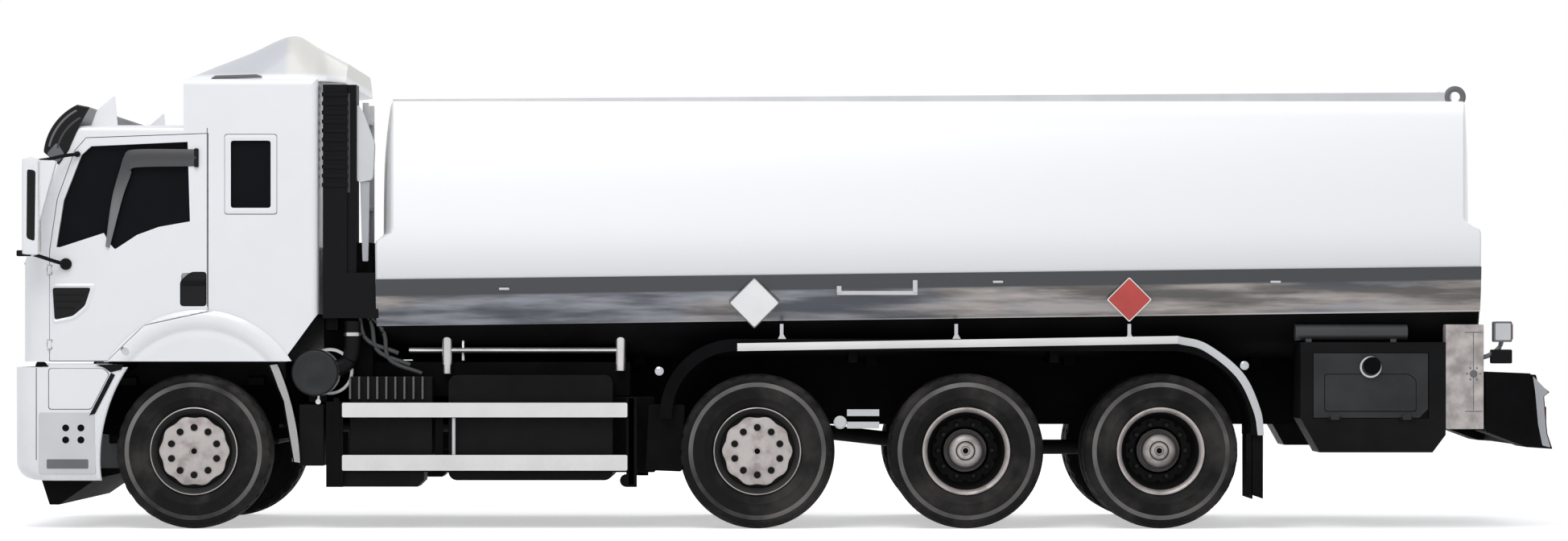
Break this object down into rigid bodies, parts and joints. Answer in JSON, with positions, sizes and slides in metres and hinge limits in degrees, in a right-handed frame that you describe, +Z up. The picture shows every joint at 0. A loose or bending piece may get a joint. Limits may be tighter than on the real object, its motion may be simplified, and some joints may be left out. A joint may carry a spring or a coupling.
{
  "type": "four-axle tanker truck",
  "caption": "Rigid four-axle tanker truck with a tilting cab over the engine, a rounded barrel with lids, doors, steering and free wheels.",
  "frame": {"origin": "on the ground, under the middle of the overall length and width", "axes": "+X towards the tail, +Y to the passenger's side, +Z up"},
  "size_m": [10.53, 2.94, 3.39],
  "materials": {
    "white_paint": "gloss white paint",
    "grey_paint": "satin grey paint",
    "black_paint": "satin black paint",
    "dark_plastic": "moulded dark plastic",
    "grey_plastic": "grained grey plastic",
    "smoked_plastic": "smoked gloss plastic",
    "stainless": "polished stainless steel",
    "rim_alloy": "forged aluminium",
    "cast_iron": "cast and painted",
    "tyre_rubber": "tyre rubber",
    "flap_rubber": "rubber sheet",
    "clear_glass": "tinted glass",
    "seat_fabric": "woven seat cloth",
    "lamp_plastic": "lamp lenses and housings"
  },
  "bodies": {
    "chassis": {"air_intake": "dark_plastic", "cab_steps": "grey_plastic", "chassis_boxes": "black_paint", "chassis_frame": "black_paint", "drive_line": "cast_iron", "engine_block": "cast_iron", "front_axle": "cast_iron", "front_bumper": "white_paint", "lamps": "lamp_plastic", "mudflaps": "flap_rubber", "mudguards": "grey_plastic", "rear_bumper": "black_paint", "rear_cabinets": "grey_paint", "rear_lockers": "stainless", "second_axle": "cast_iron", "side_guards": "black_paint", "side_tubes": "stainless", "suspension": "black_paint", "tank_access": "rim_alloy", "tank_bands": "stainless", "tank_shell": "white_paint", "tank_subframe": "black_paint"},
    "cab": {"cab_shell": "white_paint", "cab_glass": "clear_glass", "roof_fairing": "white_paint", "sun_visor": "smoked_plastic", "front_grille": "dark_plastic", "seats": "seat_fabric", "dashboard": "dark_plastic"},
    "cab_door_left": {"door_left": "white_paint", "door_glass_left": "clear_glass", "mirror_left": "white_paint"},
    "knuckle_left": {"knuckle_left": "cast_iron"},
    "wheel_front_left": {"tyre_front_left": "tyre_rubber", "rim_front_left": "rim_alloy"},
    "wheel_second_left": {"tyre_second_left": "tyre_rubber", "rim_second_left": "rim_alloy"},
    "wheel_third_left": {"tyre_third_left": "tyre_rubber", "rim_third_left": "rim_alloy"},
    "wheel_fourth_left": {"tyre_fourth_left": "tyre_rubber", "rim_fourth_left": "rim_alloy"},
    "cabinet_door_left": {"cabinet_door_left": "grey_paint"},
    "cab_door_right": {"door_right": "white_paint", "door_glass_right": "clear_glass", "mirror_right": "white_paint"},
    "knuckle_right": {"knuckle_right": "cast_iron"},
    "wheel_front_right": {"tyre_front_right": "tyre_rubber", "rim_front_right": "rim_alloy"},
    "wheel_second_right": {"tyre_second_right": "tyre_rubber", "rim_second_right": "rim_alloy"},
    "wheel_third_right": {"tyre_third_right": "tyre_rubber", "rim_third_right": "rim_alloy"},
    "wheel_fourth_right": {"tyre_fourth_right": "tyre_rubber", "rim_fourth_right": "rim_alloy"},
    "cabinet_door_right": {"cabinet_door_right": "grey_paint"},
    "tank_lid_1": {"tank_lid_1": "rim_alloy"},
    "tank_lid_2": {"tank_lid_2": "rim_alloy"},
    "tank_lid_3": {"tank_lid_3": "rim_alloy"}
  },
  "joints": [
    {"name": "cab_tilt", "type": "hinge", "parent": "chassis", "child": "cab", "pos_m": [-5.129, 0, 0.7], "axis": [0, -1, 0], "range_deg": [0, 55]},
    {"name": "cab_door_left_swing", "type": "hinge", "parent": "cab", "child": "cab_door_left", "pos_m": [-5.0105, -1.24, 1.5], "axis": [0, 0, -1], "range_deg": [0, 65]},
    {"name": "cab_door_right_swing", "type": "hinge", "parent": "cab", "child": "cab_door_right", "pos_m": [-5.0105, 1.24, 1.5], "axis": [0, 0, 1], "range_deg": [0, 65]},
    {"name": "steer_left", "type": "hinge", "parent": "chassis", "child": "knuckle_left", "pos_m": [-4.03, -0.87, 0.53], "axis": [0, 0, 1], "range_deg": [-35, 35]},
    {"name": "steer_right", "type": "hinge", "parent": "chassis", "child": "knuckle_right", "pos_m": [-4.03, 0.87, 0.53], "axis": [0, 0, 1], "range_deg": [-35, 35]},
    {"name": "wheel_front_left_spin", "type": "hinge", "parent": "knuckle_left", "child": "wheel_front_left", "pos_m": [-4.03, -1.09, 0.53], "axis": [0, 1, 0], "continuous": true},
    {"name": "wheel_second_left_spin", "type": "hinge", "parent": "chassis", "child": "wheel_second_left", "pos_m": [-0.175, -1.09, 0.53], "axis": [0, 1, 0], "continuous": true},
    {"name": "wheel_third_left_spin", "type": "hinge", "parent": "chassis", "child": "wheel_third_left", "pos_m": [1.255, -1.09, 0.53], "axis": [0, 1, 0], "continuous": true},
    {"name": "wheel_fourth_left_spin", "type": "hinge", "parent": "chassis", "child": "wheel_fourth_left", "pos_m": [2.585, -1.09, 0.53], "axis": [0, 1, 0], "continuous": true},
    {"name": "wheel_front_right_spin", "type": "hinge", "parent": "knuckle_right", "child": "wheel_front_right", "pos_m": [-4.03, 1.09, 0.53], "axis": [0, 1, 0], "continuous": true},
    {"name": "wheel_second_right_spin", "type": "hinge", "parent": "chassis", "child": "wheel_second_right", "pos_m": [-0.175, 1.09, 0.53], "axis": [0, 1, 0], "continuous": true},
    {"name": "wheel_third_right_spin", "type": "hinge", "parent": "chassis", "child": "wheel_third_right", "pos_m": [1.255, 1.09, 0.53], "axis": [0, 1, 0], "continuous": true},
    {"name": "wheel_fourth_right_spin", "type": "hinge", "parent": "chassis", "child": "wheel_fourth_right", "pos_m": [2.585, 1.09, 0.53], "axis": [0, 1, 0], "continuous": true},
    {"name": "tank_lid_1_hinge", "type": "hinge", "parent": "chassis", "child": "tank_lid_1", "pos_m": [-0.95875, 0, 2.95], "axis": [0, 1, 0], "range_deg": [0, 100]},
    {"name": "tank_lid_2_hinge", "type": "hinge", "parent": "chassis", "child": "tank_lid_2", "pos_m": [1.70375, 0, 2.95], "axis": [0, 1, 0], "range_deg": [0, 100]},
    {"name": "tank_lid_3_hinge", "type": "hinge", "parent": "chassis", "child": "tank_lid_3", "pos_m": [3.47875, 0, 2.95], "axis": [0, 1, 0], "range_deg": [0, 100]},
    {"name": "cabinet_door_left_hinge", "type": "hinge", "parent": "chassis", "child": "cabinet_door_left", "pos_m": [4.018, -1.2445, 0.753], "axis": [1, 0, 0], "range_deg": [0, 95]},
    {"name": "cabinet_door_right_hinge", "type": "hinge", "parent": "chassis", "child": "cabinet_door_right", "pos_m": [4.018, 1.2445, 0.753], "axis": [-1, 0, 0], "range_deg": [0, 95]}
  ],
  "couplings": [
    {"joint": "steer_right", "follows": "steer_left", "ratio": 1}
  ]
}
